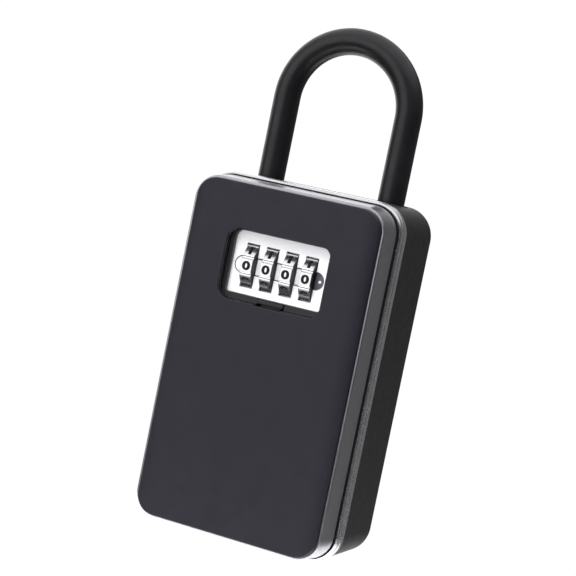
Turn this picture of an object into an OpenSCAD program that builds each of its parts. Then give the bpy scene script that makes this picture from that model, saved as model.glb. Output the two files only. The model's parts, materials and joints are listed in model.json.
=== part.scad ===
// Portable key lock box: a cast case with a drop-down combination door and a removable shackle.
// Front faces -Y, up is +Z, the origin is under the middle of the case.
// Depths are counted from the front pad.

/* [Case] */
// Width across the rim of the case
case_width = 72; // [72:0.5:80]
// Height of the case without its shackle
case_height = 119.6; // [119.6:0.1:128]
// Depth from the front pad to the back of the jacket
case_depth = 44.8; // [44.8:0.1:52]
// Corner radius of the rim
rim_radius = 10.4; // [9.5:0.1:12]
// Thickness of the cast walls at the sides of the key space
wall = 2.2; // [2:0.1:2.6]
// Thickness of the rubber jacket
jacket_wall = 1.3; // [1.1:0.1:1.6]

/* [Door] */
// Step from the rim in to the edge of the front pad
pad_step = 2.9; // [2.6:0.1:3.2]
// Thickness of the soft front pad
pad_thickness = 2.1; // [1.8:0.1:2.2]
// Width of the dial window
window_width = 37.2; // [36.8:0.1:39]
// Height of the dial window
window_height = 23.3; // [23:0.1:24.5]

/* [Dials] */
// Number of dials
dial_count = 4; // [4:1:4]
// Distance from one dial to the next
dial_pitch = 7.1; // [7.1:0.05:7.3]
// Width of one dial
dial_width = 4.2; // [4:0.05:4.3]
// Radius over the corners of a ten-sided dial
dial_radius = 8.95; // [8.7:0.05:9]

/* [Shackle] */
// Diameter over the vinyl sleeve
sleeve_diameter = 9.1; // [8.6:0.1:9.4]
// Diameter of the steel rod
rod_diameter = 7.6; // [7.2:0.1:7.8]
// Distance between the two legs
leg_spacing = 44.6; // [42:0.1:45]
// Height of the shackle's top above the case
shackle_rise = 54.55; // [45:0.05:70]

/* [Hidden] */
$fn = 64;
eps = 0.01;        // how far a cut runs past a face
through = 200;     // long enough to cut through the whole object

front = -case_depth / 2;                    // y of the pad's face
mid_z = case_height / 2;

// Outlines, as the step in from the rim on every side
frame_step = pad_step - 1.55;               // back edge of the door frame
frame_front_step = pad_step - 0.9;          // front edge of the door frame
jacket_step = 0.3;                          // rubber jacket
shell_step = jacket_step + jacket_wall;     // cast shell under the jacket
cavity_step = shell_step + wall;            // key space

// Depths from the front
frame_wall = 2.8;                           // side walls of the door frame
frame_floor = pad_thickness + 2.5;          // back of the door frame's front wall
door_back = pad_thickness + 9.5;            // back edge of the door frame
gap = 0.8;                                  // between the closed door and the rim
rim_front = door_back + gap;
rim_depth = 5;
rim_back = rim_front + rim_depth;
shell_back = case_depth - jacket_wall;
cavity_back = shell_back - 2.5;
jacket_edge = 3.9;                          // rounding of the jacket's back edges
shell_edge = 2.6;                           // rounding of the shell's back edges

// Hinge along the bottom edge
hinge_depth = door_back - 0.3;
hinge_z = 2.3;
knuckle_r = 1.5;
knuckle_clear = 0.3;
pin_r = 0.7;
door_knuckle_half = 7.5;                    // half length of the door's knuckle
case_knuckle_end = 14;

// Top block that takes the shackle's legs
block_front = 24;
block_bottom = case_height - 21.1;
leg_depth = 32.6;                           // depth of the legs' centre line
leg_x = leg_spacing / 2;
rod_r = rod_diameter / 2;
sleeve_r = sleeve_diameter / 2;
leg_bottom = block_bottom + 2;
leg_bore_r = rod_r + 0.15;
arch_z = case_height + shackle_rise - leg_x - sleeve_r;
shell_top = case_height - shell_step;
jacket_top = case_height - jacket_step;
sleeve_foot = jacket_top + 0.1;             // lower ends of the vinyl sleeve
bushing_r = 6;
bushing_foot = shell_top - 1.8;
catch_z = block_bottom + 5.5;               // underside of the catch bar
catch_height = 3;
catch_clear = 0.3;
catch_front = 25.2;
catch_travel = 1.6;
catch_back = leg_depth - rod_r - 0.2;       // stands just clear of the legs
notch_back = catch_back + catch_travel + 0.4;
catch_half = 27;
stem_half = 3;
knob_half = 5;
knob_height = 4;

// Dial stack
window_z = mid_z + 30.65;
window_radius = 4;
opening_width = window_width - 3.2;         // opening of the bezel
opening_height = window_height - 2.8;
opening_z = window_z + 0.9;
opening_foot = 8;
dial_z = mid_z + 30.75;
dial_depth = 10.2;                          // depth of the dial axle
dial_bore_r = 5.2;
dial_sides = 10;
axle_r = 1.5;
axle_clear = 0.06;
cam_r = 4.5;
cam_width = 1.4;
cam_gap = 0.1;                              // end play between neighbouring dials
gate_floor_r = 2.2;
gate_width = 2.8;
spacer_r = 2.2;
plate_back = frame_floor + 0.8;
plate_half = 21;
bracket_in = 17.8;
bracket_out = 19.4;
dial_x = [for (i = [0 : dial_count - 1]) (i - (dial_count - 1) / 2) * dial_pitch];

// Release: the tab, its side arms and the fence above the dials, all pressed down together
release_travel = 2.4;
arm_in = 15.4;
arm_out = 17.2;
arm_front = plate_back + 0.3;
arm_back = arm_front + 1.6;
arm_foot = 1.8;                             // height of the bar that joins the arms to the tab
tab_half = 4.7;
stem_tab_half = 3.5;                        // narrower stem that carries the tab
tab_top = window_z - window_height / 2 + 1.75;
tab_height = 1.2;
tab_bottom = tab_top - 4.15;                // foot of the stem, behind the pad
notch_drop = 0.25;                          // finger notch in the pad, below the window
notch_height = 6;
fence_z = dial_z + dial_radius + release_travel + 0.5;
fence_thickness = 1.5;
finger_half = 2;
finger_back = 17.2;

// Latch bolt, shown drawn back. It rises by bolt_travel into the strike.
bolt_travel = 2.4;
bolt_front = 15.8;
bolt_back = 18.6;
bolt_half = 5.4;
bolt_bottom = dial_z + 7.75;
bolt_top = dial_z + 20.45;
wing_half = 8.8;
wing_bottom = bolt_bottom + 4.1;
wing_height = 1.6;
guide_in = 9.2;
guide_out = 10.2;
guide_floor = 1.3;

// Back cover of the door, with a deep housing round the dials
cover_front = door_back - 1;
cover_back = rim_front;
cover_step = cavity_step + 1.7;
housing_half = 21;
housing_wall = 1.4;
housing_bottom = dial_z - 11.55;
housing_top = dial_z + 18.45;
housing_back = 21;
pocket_bottom = 6.2;
pocket_top = case_height - frame_step - frame_wall;
screw_head_r = 2.2;
screw_head_h = 1.2;
screw_r = 1.1;
cover_screw_x = 27.2;
cover_screw_z = [12, mid_z + 49.4];

// Strike behind the top of the rim
strike_half = 11.5;
strike_front = 13.9;
strike_back = 22;
strike_thickness = 1.4;
strike_lip_bottom = bolt_top + 0.8;
cavity_top = case_height - cavity_step;
strike_screw_x = 8.6;
strike_screw_depth = 19.5;

// Screw holes through the back
wall_hole_r = 2.6;
wall_hole_x = 18;
wall_hole_z = 30;

// Code-change lever on the inside of the door
lever_z = mid_z + 5;
lever_hub_r = 4;
lever_length = 12;
lever_shaft_r = 1.5;

// Places a depth on the Y axis
function at(depth) = front + depth;

// Rounded rectangle centred on the origin
module round_rect(w, h, r) {
    square([w - 2 * r, h], center = true);
    square([w, h - 2 * r], center = true);
    for (x = [-1, 1], z = [-1, 1])
        translate([x * (w / 2 - r), z * (h / 2 - r)]) circle(r = r);
}

// Rounded plate facing the front, between two depths
module plate(w, h, r, from, to, z = mid_z) {
    translate([0, at(to), z]) rotate([90, 0, 0]) linear_extrude(to - from) round_rect(w, h, r);
}

// Plate whose outline stands a step in from the rim on every side
module stepped(step, from, to) {
    plate(case_width - 2 * step, case_height - 2 * step, rim_radius - step, from, to);
}

// Outline of a box seen from the side or from above, with its two back corners rounded
module rounded_back_profile(half, from, to, edge) {
    translate([-half, at(from)]) square([2 * half, to - from - edge]);
    translate([edge - half, at(from)]) square([2 * (half - edge), to - from]);
    for (side = [-1, 1]) translate([side * (half - edge), at(to) - edge]) circle(r = edge);
}

// Stepped plate whose back edges are rounded
module rounded_back(step, from, to, edge) {
    intersection() {
        stepped(step, from, to);
        translate([0, 0, -eps]) linear_extrude(case_height + 1)
            rounded_back_profile(case_width / 2 - step, from, to, edge);
        translate([through / 2, 0, mid_z]) rotate([0, -90, 0]) linear_extrude(through)
            rounded_back_profile(case_height / 2 - step, from, to, edge);
    }
}

// Outline of that plate seen from the side or from above
module sloped_outline(half, step_front, step_back, from, to) {
    polygon([[step_front - half, at(from)], [half - step_front, at(from)],
             [half - step_back, at(to)], [step_back - half, at(to)]]);
}

// Stepped plate whose four sides slope in towards the front
module tapered(step_front, step_back, from, to) {
    intersection() {
        stepped(step_back, from, to);
        translate([0, 0, -eps]) linear_extrude(case_height + 1)
            sloped_outline(case_width / 2, step_front, step_back, from, to);
        translate([through / 2, 0, mid_z]) rotate([0, -90, 0]) linear_extrude(through)
            sloped_outline(case_height / 2, step_front, step_back, from, to);
    }
}

// Box given by its limits, depths counted from the front
module block(x0, x1, from, to, z0, z1) {
    translate([x0, at(from), z0]) cube([x1 - x0, to - from, z1 - z0]);
}

// The same box on both sides of the middle
module block_pair(x0, x1, from, to, z0, z1) {
    block(x0, x1, from, to, z0, z1);
    block(-x1, -x0, from, to, z0, z1);
}

module rod_x(r, x0, x1, depth, z) {
    translate([x0, at(depth), z]) rotate([0, 90, 0]) cylinder(r = r, h = x1 - x0);
}

module rod_y(r, x, z, from, to) {
    translate([x, at(to), z]) rotate([90, 0, 0]) cylinder(r = r, h = to - from);
}

module rod_z(r, x, depth, z0, z1) {
    translate([x, at(depth), z0]) cylinder(r = r, h = z1 - z0);
}

module at_legs() {
    for (side = [-1, 1]) translate([side * leg_x, at(leg_depth), 0]) children();
}

module wall_holes(r, from, to) {
    for (x = [-1, 1], z = [-1, 1]) rod_y(r, x * wall_hole_x, mid_z + z * wall_hole_z, from, to);
}

// Cylinders round the hinge axis, for the knuckles or for the room they turn in
module case_knuckles(r, spare = 0) {
    for (x0 = [-case_knuckle_end, door_knuckle_half + 0.5])
        rod_x(r, x0 - spare, x0 + case_knuckle_end - door_knuckle_half - 0.5 + spare, hinge_depth, hinge_z);
}

module door_knuckle(r, spare = 0) {
    rod_x(r, -door_knuckle_half - spare, door_knuckle_half + spare, hinge_depth, hinge_z);
}

// Screw along Y: a flanged head behind a plate and a shank in front of it
module screw_y(x, z, head_from, shank_from) {
    difference() {
        rod_y(screw_head_r, x, z, head_from, head_from + screw_head_h);
        for (a = [0, 90]) translate([x, at(head_from + screw_head_h), z]) rotate([0, a, 0])
            cube([2.4, 1.2, 0.6], center = true);
    }
    rod_y(screw_r, x, z, shank_from, head_from);
}

module case_shell() {
    color("silver") difference() {
        union() {
            rounded_back(shell_step, rim_back - 1, shell_back, shell_edge);
            stepped(0.15, rim_front, rim_front + 2.1);
            stepped(0.5, rim_front + 2, rim_front + 2.5);
            stepped(0, rim_front + 2.4, rim_back);
            case_knuckles(knuckle_r);
            block_pair(door_knuckle_half + 0.5, case_knuckle_end, hinge_depth, rim_front + 0.5,
                       hinge_z - 1.4, hinge_z + 1.4);
        }
        difference() {
            stepped(cavity_step, rim_front - 1, cavity_back);
            block(-case_width, case_width, block_front, case_depth, block_bottom, case_height);
        }
        // groove for the gasket, on the sides and the top
        gasket_ring(rim_front - 1, rim_front + 0.9);
        // room for the door's knuckle, and the bores of the hinge
        door_knuckle(knuckle_r + knuckle_clear, knuckle_clear);
        rod_x(pin_r + 0.02, -case_knuckle_end - 1, case_knuckle_end + 1, hinge_depth, hinge_z);
        // leg bores, with a wider mouth for the bushings
        at_legs() translate([0, 0, leg_bottom - 0.5]) cylinder(r = leg_bore_r, h = through);
        at_legs() translate([0, 0, bushing_foot]) cylinder(r = bushing_r, h = through);
        // slot for the catch bar and its stem
        block(-catch_half - 0.5, catch_half + 0.5, block_front - eps, notch_back,
              catch_z - catch_clear, catch_z + catch_height + catch_clear);
        block(-stem_half - 0.5, stem_half + 0.5, catch_front - 0.2, notch_back, block_bottom - eps, catch_z);
        for (side = [-1, 1]) {
            rod_y(screw_r, side * 12, block_bottom + 12, block_front - eps, block_front + 5.2);
            rod_z(screw_r, side * strike_screw_x, strike_screw_depth, cavity_top - eps, cavity_top + 1.6);
        }
        wall_holes(wall_hole_r, cavity_back - 1, case_depth);
    }
}

module rear_jacket() {
    color([0.16, 0.16, 0.17]) difference() {
        rounded_back(jacket_step, rim_back, case_depth, jacket_edge);
        rounded_back(shell_step, rim_back - 1, shell_back, shell_edge);
        at_legs() translate([0, 0, bushing_foot]) cylinder(r = bushing_r, h = through);
        wall_holes(wall_hole_r, cavity_back, case_depth + 1);
    }
}

// Rectangular ring open at the bottom, for the gasket and its groove
module gasket_ring(from, to) {
    difference() {
        stepped(cavity_step - 2, from, to);
        stepped(cavity_step - 0.5, from - 1, to + 1);
        block(-case_width, case_width, from - 1, to + 1, -1, rim_radius);
    }
}

module door_gasket() {
    color([0.1, 0.1, 0.1]) gasket_ring(door_back + 0.3, rim_front + 0.9);
}

module hinge_pin() {
    color("gainsboro") rod_x(pin_r, -case_knuckle_end, case_knuckle_end, hinge_depth, hinge_z);
}

module strike_plate() {
    color("gainsboro") difference() {
        union() {
            block(-strike_half, strike_half, strike_front, strike_front + strike_thickness,
                  strike_lip_bottom, cavity_top);
            block(-strike_half, strike_half, strike_front, strike_back,
                  cavity_top - strike_thickness, cavity_top);
        }
        for (side = [-1, 1])
            rod_z(screw_r, side * strike_screw_x, strike_screw_depth, cavity_top - 2, cavity_top + 1);
    }
}

module strike_screws() {
    color("gray") for (side = [-1, 1]) {
        rod_z(screw_r, side * strike_screw_x, strike_screw_depth,
              cavity_top - strike_thickness, cavity_top + 1.5);
        rod_z(screw_head_r, side * strike_screw_x, strike_screw_depth,
              cavity_top - strike_thickness - 0.9, cavity_top - strike_thickness);
    }
}

module leg_bushings() {
    color([0.12, 0.12, 0.13]) at_legs() difference() {
        translate([0, 0, bushing_foot]) cylinder(r = bushing_r, h = jacket_top - bushing_foot);
        translate([0, 0, bushing_foot - 1]) cylinder(r = leg_bore_r, h = through);
    }
}

module catch_cover() {
    color("darkgray") difference() {
        block(-catch_half - 1, catch_half + 1, block_front - 1.4, block_front,
              block_bottom + 2, block_bottom + 15);
        for (side = [-1, 1])
            rod_y(screw_r, side * 12, block_bottom + 12, block_front - 2, block_front + 1);
    }
}

module catch_cover_screws() {
    color("gray") for (side = [-1, 1]) {
        rod_y(screw_head_r, side * 12, block_bottom + 12, block_front - 2.3, block_front - 1.4);
        rod_y(screw_r, side * 12, block_bottom + 12, block_front - 1.4, block_front + 5);
    }
}

module cavity_liner() {
    color([0.2, 0.2, 0.22]) difference() {
        plate(60, 88, 5, cavity_back - 1.2, cavity_back, cavity_step + 46);
        wall_holes(4.5, cavity_back - 2, cavity_back + 1);
    }
}

// Half ring over the legs
module arch(r) {
    translate([0, at(leg_depth), arch_z]) rotate([90, 0, 0])
        rotate_extrude(angle = 180) translate([leg_x, 0]) circle(r = r);
}

module shackle_rod() {
    color("silver") difference() {
        union() {
            arch(rod_r);
            at_legs() {
                translate([0, 0, leg_bottom + 1]) cylinder(r = rod_r, h = arch_z - leg_bottom - 1);
                translate([0, 0, leg_bottom]) cylinder(r1 = rod_r - 0.8, r2 = rod_r, h = 1);
            }
        }
        // notches that the catch bar drops into
        block(-through, through, leg_depth - 10, notch_back, catch_z - catch_clear,
              catch_z + catch_height + catch_clear);
    }
}

module shackle_sleeve() {
    color([0.13, 0.13, 0.14]) difference() {
        union() {
            arch(sleeve_r);
            at_legs() translate([0, 0, sleeve_foot]) cylinder(r = sleeve_r, h = arch_z - sleeve_foot);
        }
        arch(rod_r + 0.02);
        at_legs() translate([0, 0, sleeve_foot - 1]) cylinder(r = rod_r + 0.02, h = arch_z - sleeve_foot + 1);
    }
}

module shackle_catch() {
    color("gainsboro") {
        block(-catch_half, catch_half, catch_front, catch_back, catch_z, catch_z + catch_height);
        block(-stem_half, stem_half, catch_front, catch_back, block_bottom - 1, catch_z);
    }
}

module catch_knob() {
    color("dimgray")
        block(-knob_half, knob_half, catch_front, catch_back,
              block_bottom - 1 - knob_height, block_bottom - 1);
}

// Opening of the dial window
module window_hole(from, to, spare = 0) {
    plate(window_width - 2 * spare, window_height - 2 * spare, window_radius - spare, from, to, window_z);
}

module door_frame() {
    color("dimgray") difference() {
        union() {
            difference() {
                tapered(frame_front_step, frame_step, pad_thickness, door_back);
                plate(case_width - 2 * (frame_step + frame_wall), pocket_top - pocket_bottom,
                      rim_radius - frame_step - frame_wall, frame_floor, door_back + 1,
                      (pocket_top + pocket_bottom) / 2);
            }
            door_knuckle(knuckle_r);
            // bosses for the cover screws, and the shelf under the release springs
            for (x = [-1, 1], z = cover_screw_z)
                rod_y(3, x * cover_screw_x, z, frame_floor - 1, cover_front);
            block(-13, 13, frame_floor - 1, frame_floor + 4.2, tab_bottom - 11.1, tab_bottom - 9.1);
        }
        window_hole(pad_thickness - 1, frame_floor + 1);
        // slot for the release tab below the window
        block(-tab_half - 0.3, tab_half + 0.3, pad_thickness - 1, frame_floor + eps,
              tab_bottom - release_travel - 0.6, window_z);
        case_knuckles(knuckle_r + knuckle_clear, knuckle_clear);
        rod_x(pin_r + 0.05, -door_knuckle_half - 1, door_knuckle_half + 1, hinge_depth, hinge_z);
        for (x = [-1, 1], z = cover_screw_z)
            rod_y(screw_r, x * cover_screw_x, z, frame_floor + 1, cover_front + 1);
    }
}

module front_pad() {
    color([0.21, 0.21, 0.23]) difference() {
        stepped(pad_step, 0, pad_thickness);
        window_hole(-1, pad_thickness + 1);
        // finger notch in the lower edge of the window
        plate(2 * tab_half + 0.4, notch_height, 0.2, -1, pad_thickness + 1,
              window_z - window_height / 2 - notch_drop + notch_height / 2);
    }
}

module window_bezel() {
    color([0.12, 0.12, 0.13]) difference() {
        window_hole(frame_floor - 1.6, frame_floor, 0.1);
        // opening over the dials, with tighter corners at its foot
        plate(opening_width, opening_height, window_radius - 1.4,
              frame_floor - 2, frame_floor + 1, opening_z);
        plate(opening_width, opening_foot, 0.9, frame_floor - 2, frame_floor + 1,
              opening_z - opening_height / 2 + opening_foot / 2);
        block(-tab_half - 0.2, tab_half + 0.2, frame_floor - 2, frame_floor + 1, 0, tab_top + 0.15);
    }
}

module dial_plate() {
    color("whitesmoke") difference() {
        block(-plate_half, plate_half, frame_floor, plate_back, dial_z - 10.75, dial_z + 12);
        for (x = dial_x)
            rod_x(dial_radius + 0.25, x - dial_width / 2 - 0.2, x + dial_width / 2 + 0.2, dial_depth, dial_z);
        // shallow reading groove behind the row of figures, and the set-code mark at its end
        plate(2 * (dial_x[3] + 5.4), 5.2, 2.59, frame_floor - 1, frame_floor + 0.35, dial_z);
        rod_y(0.5, dial_x[3] + 3.9, dial_z, frame_floor - 1, frame_floor + 0.6);
    }
}

module dial_axle() {
    color("gainsboro") rod_x(axle_r, -bracket_out, bracket_out, dial_depth, dial_z);
}

module axle_brackets() {
    color("darkgray") difference() {
        block_pair(bracket_in, bracket_out, plate_back, dial_depth + 2.8, dial_z - 6.5, dial_z + 6.5);
        rod_x(axle_r + 0.01, -through / 2, through / 2, dial_depth, dial_z);
    }
}

module axle_spacers() {
    color("goldenrod") difference() {
        union() {
            rod_x(spacer_r, -bracket_in, dial_x[0] - dial_width / 2 - cam_gap, dial_depth, dial_z);
            rod_x(spacer_r, dial_x[3] + dial_pitch - dial_width / 2, bracket_in, dial_depth, dial_z);
        }
        rod_x(axle_r + 0.01, -through / 2, through / 2, dial_depth, dial_z);
    }
}

module detent_spring() {
    color("gainsboro") {
        block(-14, 14, dial_depth + 2.8, housing_back - housing_wall - 0.2,
              housing_bottom + housing_wall, housing_bottom + housing_wall + 0.5);
        for (x = dial_x) {
            block(x - 1.2, x + 1.2, dial_depth - 1.5, dial_depth + 3,
                  housing_bottom + housing_wall, housing_bottom + housing_wall + 0.5);
            rod_x(0.5, x - 1.2, x + 1.2, dial_depth, dial_z - dial_radius - 0.6);
        }
    }
}

module door_back_cover() {
    color([0.25, 0.25, 0.27]) difference() {
        union() {
            plate(case_width - 2 * cover_step, 107, 4.5, cover_front, cover_back, 60.8);
            block(-housing_half, housing_half, cover_back - 1, housing_back, housing_bottom, housing_top);
        }
        block(housing_wall - housing_half, housing_half - housing_wall,
              cover_front - 1, housing_back - housing_wall,
              housing_bottom + housing_wall, housing_top - housing_wall);
        // mouth for the latch bolt
        block(-bolt_half - 0.4, bolt_half + 0.4, bolt_front - 0.4, bolt_back + 0.3, dial_z, housing_top + 1);
        rod_y(lever_shaft_r + 0.06, 0, lever_z, cover_front - 1, cover_back + 1);
        for (x = [-1, 1], z = cover_screw_z)
            rod_y(screw_r, x * cover_screw_x, z, cover_front - 1, cover_back + 1);
    }
}

module cover_screws() {
    color("gray") for (x = [-1, 1], z = cover_screw_z)
        screw_y(x * cover_screw_x, z, cover_back, frame_floor + 1.2);
}

module bolt_guide() {
    color("darkgray") {
        block(-guide_out, guide_out, bolt_back + 0.2, housing_back - housing_wall,
              bolt_bottom - 0.1, housing_top - housing_wall);
        block_pair(guide_in, guide_out, bolt_front - 0.5, bolt_back + 0.3,
                   bolt_bottom - 0.1, housing_top - housing_wall);
        block_pair(bolt_half + 0.4, guide_out, bolt_front - 0.5, bolt_back + 0.3,
                   bolt_bottom - 0.1, bolt_bottom - 0.1 + guide_floor);
    }
}

// Compression spring drawn as the tube that its coil fills
module spring_tube(x, depth, r, z0, z1) {
    difference() {
        rod_z(r, x, depth, z0, z1);
        rod_z(r - 0.45, x, depth, z0 - 1, z1 + 1);
    }
}

module release_springs() {
    color("gray") for (side = [-1, 1])
        spring_tube(side * 10, (arm_front + arm_back) / 2, 1.6, tab_bottom - 9.1, tab_bottom);
}

module bolt_springs() {
    color("gray") for (side = [-1, 1])
        spring_tube(side * 7.4, (bolt_front + bolt_back) / 2, 1.3,
                    bolt_bottom - 0.1 + guide_floor, wing_bottom);
}

module latch_bolt() {
    color("gainsboro") difference() {
        union() {
            block(-bolt_half, bolt_half, bolt_front, bolt_back, bolt_bottom, bolt_top);
            block(-wing_half, wing_half, bolt_front, bolt_back, wing_bottom, wing_bottom + wing_height);
        }
        // window that the fence's finger works in
        block(-finger_half - 0.4, finger_half + 0.4, bolt_front - 1, bolt_back + 1,
              fence_z - bolt_travel - 0.2, fence_z + fence_thickness + 0.3);
        // slope on the back of the nose, which rides under the strike as the door slams
        translate([-through / 2, at(bolt_back) + eps, bolt_top - 2.6]) rotate([90, 0, 90])
            linear_extrude(through) polygon([[0, 0], [0, 3], [-2.2, 3]]);
    }
}

module fence_plate() {
    color("gainsboro") {
        block(-arm_out, arm_out, arm_front, bolt_front - 1.3, fence_z, fence_z + fence_thickness);
        block(-finger_half, finger_half, bolt_front - 1.4, finger_back, fence_z, fence_z + fence_thickness);
        block_pair(arm_in, arm_out, arm_front, arm_back, tab_bottom, fence_z + fence_thickness);
        block(-arm_out, arm_out, arm_front, arm_back, tab_bottom, tab_bottom + arm_foot);
        // one tooth over each dial's cam, short enough to clear it with the tab pressed
        for (x = dial_x)
            block(x + dial_width / 2 + 0.2, x + dial_width / 2 + cam_width - 0.2,
                  dial_depth - 1, dial_depth + 1, dial_z + cam_r + release_travel + 0.25, fence_z + eps);
    }
}

module release_tab() {
    color([0.15, 0.15, 0.16]) {
        plate(2 * tab_half, tab_height, 0.3,
              pad_thickness + 0.3, frame_floor - 0.3, tab_top - tab_height / 2);
        block(-stem_tab_half, stem_tab_half, frame_floor - 1, frame_floor - 0.3, tab_bottom, tab_top - eps);
        block(-stem_tab_half, stem_tab_half, frame_floor - 0.4, arm_front, tab_bottom, tab_bottom + arm_foot);
    }
}

module reset_lever() {
    color("goldenrod") {
        rod_y(lever_shaft_r, 0, lever_z, cover_front - 1, cover_back + 0.4);
        rod_y(lever_hub_r, 0, lever_z, cover_back + 0.3, cover_back + 2.3);
        block(-2, 2, cover_back + 0.3, cover_back + 1.7, lever_z - lever_length, lever_z);
        rod_y(2, 0, lever_z - lever_length, cover_back + 0.3, cover_back + 3.3);
    }
}

// Ten-sided dial with a finger groove at every corner and a flat facing the front
module dial_ring(x) {
    color("whitesmoke") translate([x, at(dial_depth), dial_z]) rotate([0, 90, 0]) difference() {
        cylinder(r = dial_radius, h = dial_width, center = true, $fn = dial_sides);
        for (i = [1 : dial_sides])
            rotate(360 / dial_sides * i) translate([dial_radius + 0.35, 0, 0])
                cylinder(r = 0.9, h = dial_width + 1, center = true);
        cylinder(r = dial_bore_r + 0.01, h = dial_width + 1, center = true);
    }
}

// Hub inside a dial, with a cam beside it whose gate faces the fence at the code
module dial_cam(x) {
    color("goldenrod") difference() {
        union() {
            rod_x(dial_bore_r, x - dial_width / 2, x + dial_width / 2, dial_depth, dial_z);
            rod_x(cam_r, x + dial_width / 2, x + dial_width / 2 + cam_width, dial_depth, dial_z);
            rod_x(spacer_r, x, x + dial_pitch - dial_width / 2 - cam_gap, dial_depth, dial_z);
        }
        rod_x(axle_r + axle_clear, -through / 2, through / 2, dial_depth, dial_z);
        block(x + dial_width / 2 + eps, x + dial_width / 2 + cam_width + eps,
              dial_depth - gate_width / 2, dial_depth + gate_width / 2, dial_z + gate_floor_r, dial_z + 10);
    }
}

case_shell();
rear_jacket();
door_gasket();
hinge_pin();
strike_plate();
strike_screws();
leg_bushings();
catch_cover();
catch_cover_screws();
cavity_liner();
shackle_rod();
shackle_sleeve();
shackle_catch();
catch_knob();
door_frame();
front_pad();
window_bezel();
dial_plate();
dial_axle();
axle_brackets();
axle_spacers();
detent_spring();
door_back_cover();
cover_screws();
bolt_guide();
release_springs();
bolt_springs();
latch_bolt();
fence_plate();
release_tab();
reset_lever();
dial_ring(dial_x[0]);  // dial_ring_1
dial_ring(dial_x[1]);  // dial_ring_2
dial_ring(dial_x[2]);  // dial_ring_3
dial_ring(dial_x[3]);  // dial_ring_4
dial_cam(dial_x[0]);  // dial_cam_1
dial_cam(dial_x[1]);  // dial_cam_2
dial_cam(dial_x[2]);  // dial_cam_3
dial_cam(dial_x[3]);  // dial_cam_4
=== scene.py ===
"""Key lock box: the looks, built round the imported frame. Metres; the front faces -Y and up is +Z."""
import json
import math

import bmesh
import bpy
from mathutils import Matrix, Vector, geometry

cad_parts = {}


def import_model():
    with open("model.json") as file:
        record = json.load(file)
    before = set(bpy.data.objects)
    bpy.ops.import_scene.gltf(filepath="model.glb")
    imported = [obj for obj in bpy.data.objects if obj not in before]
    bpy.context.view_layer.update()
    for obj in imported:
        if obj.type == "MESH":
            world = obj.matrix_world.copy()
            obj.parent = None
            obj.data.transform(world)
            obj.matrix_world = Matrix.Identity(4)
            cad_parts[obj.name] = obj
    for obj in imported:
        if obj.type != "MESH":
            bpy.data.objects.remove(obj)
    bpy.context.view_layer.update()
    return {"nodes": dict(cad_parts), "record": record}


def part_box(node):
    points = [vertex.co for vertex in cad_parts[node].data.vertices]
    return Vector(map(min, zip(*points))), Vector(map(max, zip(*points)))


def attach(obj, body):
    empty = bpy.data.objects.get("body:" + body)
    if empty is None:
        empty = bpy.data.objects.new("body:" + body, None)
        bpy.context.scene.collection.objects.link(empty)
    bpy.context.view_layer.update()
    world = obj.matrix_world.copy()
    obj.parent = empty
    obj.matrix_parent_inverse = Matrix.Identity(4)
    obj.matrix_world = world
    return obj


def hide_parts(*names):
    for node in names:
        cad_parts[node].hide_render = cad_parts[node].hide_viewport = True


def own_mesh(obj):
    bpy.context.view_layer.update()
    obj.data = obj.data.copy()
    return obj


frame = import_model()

MM = 0.001
NODES = frame["nodes"]
SLOT_OF = {part["node"]: part["material_slot"] for part in frame["record"]["subparts"]}

# ---------------------------------------------------------------- materials


class Nodes:
    """A material's node tree, with the few helpers that the surfaces below share."""

    def __init__(self, name):
        self.material = bpy.data.materials.new(name)
        self.material.use_nodes = True
        self.tree = self.material.node_tree
        self.shader = self.tree.nodes["Principled BSDF"]
        self.place = self.new("ShaderNodeTexCoord").outputs["Object"]

    def new(self, kind, **settings):
        node = self.tree.nodes.new(kind)
        for key, value in settings.items():
            setattr(node, key, value)
        return node

    def link(self, source, target):
        self.tree.links.new(source, target)

    def noise(self, size, detail=3.0, stretch=(1, 1, 1)):
        """Noise whose features are about size metres across, drawn out along the axes with a low stretch."""
        scale = self.new("ShaderNodeMapping")
        scale.inputs["Scale"].default_value = stretch
        self.link(self.place, scale.inputs["Vector"])
        noise = self.new("ShaderNodeTexNoise")
        noise.inputs["Scale"].default_value = 1 / size
        noise.inputs["Detail"].default_value = detail
        self.link(scale.outputs["Vector"], noise.inputs["Vector"])
        return noise.outputs["Fac"]

    def ramp(self, source, low, high, start=0.3, end=0.7):
        """Maps source from start..end to low..high."""
        node = self.new("ShaderNodeMapRange")
        node.inputs["From Min"].default_value = start
        node.inputs["From Max"].default_value = end
        node.inputs["To Min"].default_value = low
        node.inputs["To Max"].default_value = high
        self.link(source, node.inputs["Value"])
        return node.outputs["Result"]

    def mix(self, factor, first, second):
        """Colour mix. Each of first and second is a colour or a socket."""
        node = self.new("ShaderNodeMix", data_type="RGBA")
        self.link(factor, node.inputs["Factor"])
        for socket, value in ((node.inputs[6], first), (node.inputs[7], second)):
            if isinstance(value, tuple):
                socket.default_value = (*value, 1)
            else:
                self.link(value, socket)
        return node.outputs[2]

    def edges(self, radius):
        """1 along edges and 0 on flats, from how far a rounded normal turns away from the true one."""
        bevel = self.new("ShaderNodeBevel", samples=6)
        bevel.inputs["Radius"].default_value = radius
        true = self.new("ShaderNodeNewGeometry").outputs["Normal"]
        dot = self.new("ShaderNodeVectorMath", operation="DOT_PRODUCT")
        self.link(bevel.outputs["Normal"], dot.inputs[0])
        self.link(true, dot.inputs[1])
        return self.ramp(dot.outputs["Value"], 1.0, 0.0, start=0.86, end=0.995)

    def bump(self, *layers):
        """Stacks bumps, each given as (height socket, depth in metres)."""
        normal = None
        for height, depth in layers:
            node = self.new("ShaderNodeBump")
            node.inputs["Distance"].default_value = depth
            self.link(height, node.inputs["Height"])
            if normal:
                self.link(normal, node.inputs["Normal"])
            normal = node.outputs["Normal"]
        self.link(normal, self.shader.inputs["Normal"])


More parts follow.
